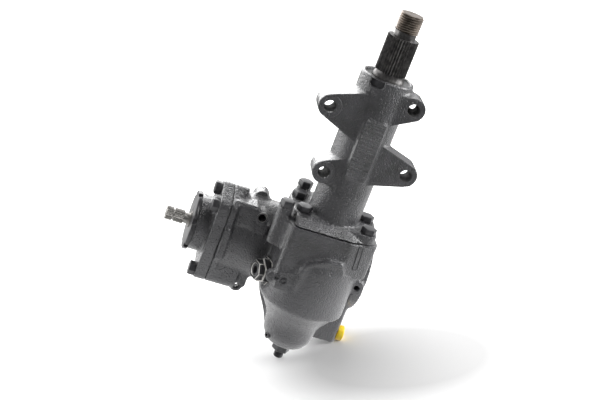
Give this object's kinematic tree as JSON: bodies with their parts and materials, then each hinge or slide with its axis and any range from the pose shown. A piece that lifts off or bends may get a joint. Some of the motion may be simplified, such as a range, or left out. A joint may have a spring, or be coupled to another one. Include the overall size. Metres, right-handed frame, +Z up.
{
  "type": "steering gearbox",
  "caption": "Power steering gearbox: worm input, ball nut piston with rack teeth, and a long sector shaft in a tube with mounting ears.",
  "frame": {"origin": "centre of the four chassis bolt holes, on the mounting face of the ears", "axes": "-Y out of the mounting face, +Z up along the side of the bolt rectangle, +X to the right seen from the mounting face; the sector shaft leans 15 degrees from +Z towards +X"},
  "size_m": [0.281, 0.1683, 0.4323],
  "materials": {
    "black_iron": "semi-gloss black paint on a casting",
    "black_steel": "semi-gloss black paint",
    "sector_steel": "dark forged steel, bare at the thread",
    "bare_steel": "machined",
    "bare_iron": "machined",
    "yellow_plastic": "satin",
    "seal_plastic": "matt",
    "seal_rubber": "matt",
    "gasket_fibre": "matt"
  },
  "bodies": {
    "housing": {"gear_housing": "black_iron", "shaft_tube": "black_iron", "tube_gasket": "gasket_fibre", "tube_bolts": "black_steel", "high_bolt": "black_steel", "filler_plug": "black_steel", "upper_bearing": "bare_steel", "middle_bearing": "bare_steel", "lower_bearing": "bare_steel", "sector_seal": "seal_rubber", "dust_cover": "bare_steel", "adjusting_screw": "black_steel", "adjuster_lock_nut": "black_steel", "worm_seal": "seal_rubber", "inner_thrust_bearing": "bare_steel", "outer_thrust_bearing": "bare_steel", "valve_cover": "black_iron", "cover_o_ring": "seal_rubber", "cover_bolts": "black_steel", "bearing_adjuster": "black_steel", "input_bearing": "bare_steel", "input_seal": "seal_rubber", "end_cover": "black_steel", "end_cover_o_ring": "seal_rubber", "end_ring": "bare_steel", "union_body": "black_steel", "union_nipple": "bare_steel", "transit_plug": "yellow_plastic"},
    "sector": {"sector_shaft": "sector_steel", "screw_retainer": "bare_steel"},
    "piston": {"rack_piston": "bare_steel", "piston_ring": "bare_iron", "track_balls": "bare_steel", "ball_guide": "bare_steel", "guide_clamp": "bare_steel", "guide_screws": "bare_steel"},
    "worm": {"worm_shaft": "bare_steel", "valve_sleeve": "bare_steel", "sleeve_rings": "seal_plastic"},
    "input": {"input_shaft": "bare_steel", "torsion_bar": "bare_steel", "bar_pin": "bare_steel"}
  },
  "joints": [
    {"name": "sector_hinge", "type": "hinge", "parent": "housing", "child": "sector", "pos_m": [0, 0.026, 0], "axis": [0.2588, 0, 0.9659], "range_deg": [-45, 45]},
    {"name": "piston_slide", "type": "slide", "parent": "housing", "child": "piston", "axis": [-0.9659, 0, 0.2588], "range_m": [-0.02513, 0.02513]},
    {"name": "worm_hinge", "type": "hinge", "parent": "housing", "child": "worm", "pos_m": [-0.04749, 0.082, -0.17725], "axis": [-0.9659, 0, 0.2588], "range_deg": [-715, 715]},
    {"name": "valve_hinge", "type": "hinge", "parent": "worm", "child": "input", "pos_m": [-0.04749, 0.082, -0.17725], "axis": [-0.9659, 0, 0.2588], "range_deg": [-4, 4], "stiffness_Nm_per_rad": 90}
  ],
  "couplings": [
    {"joint": "sector_hinge", "follows": "piston_slide", "rad_per_m": 31.25},
    {"joint": "worm_hinge", "follows": "piston_slide", "rad_per_m": -494.74}
  ]
}
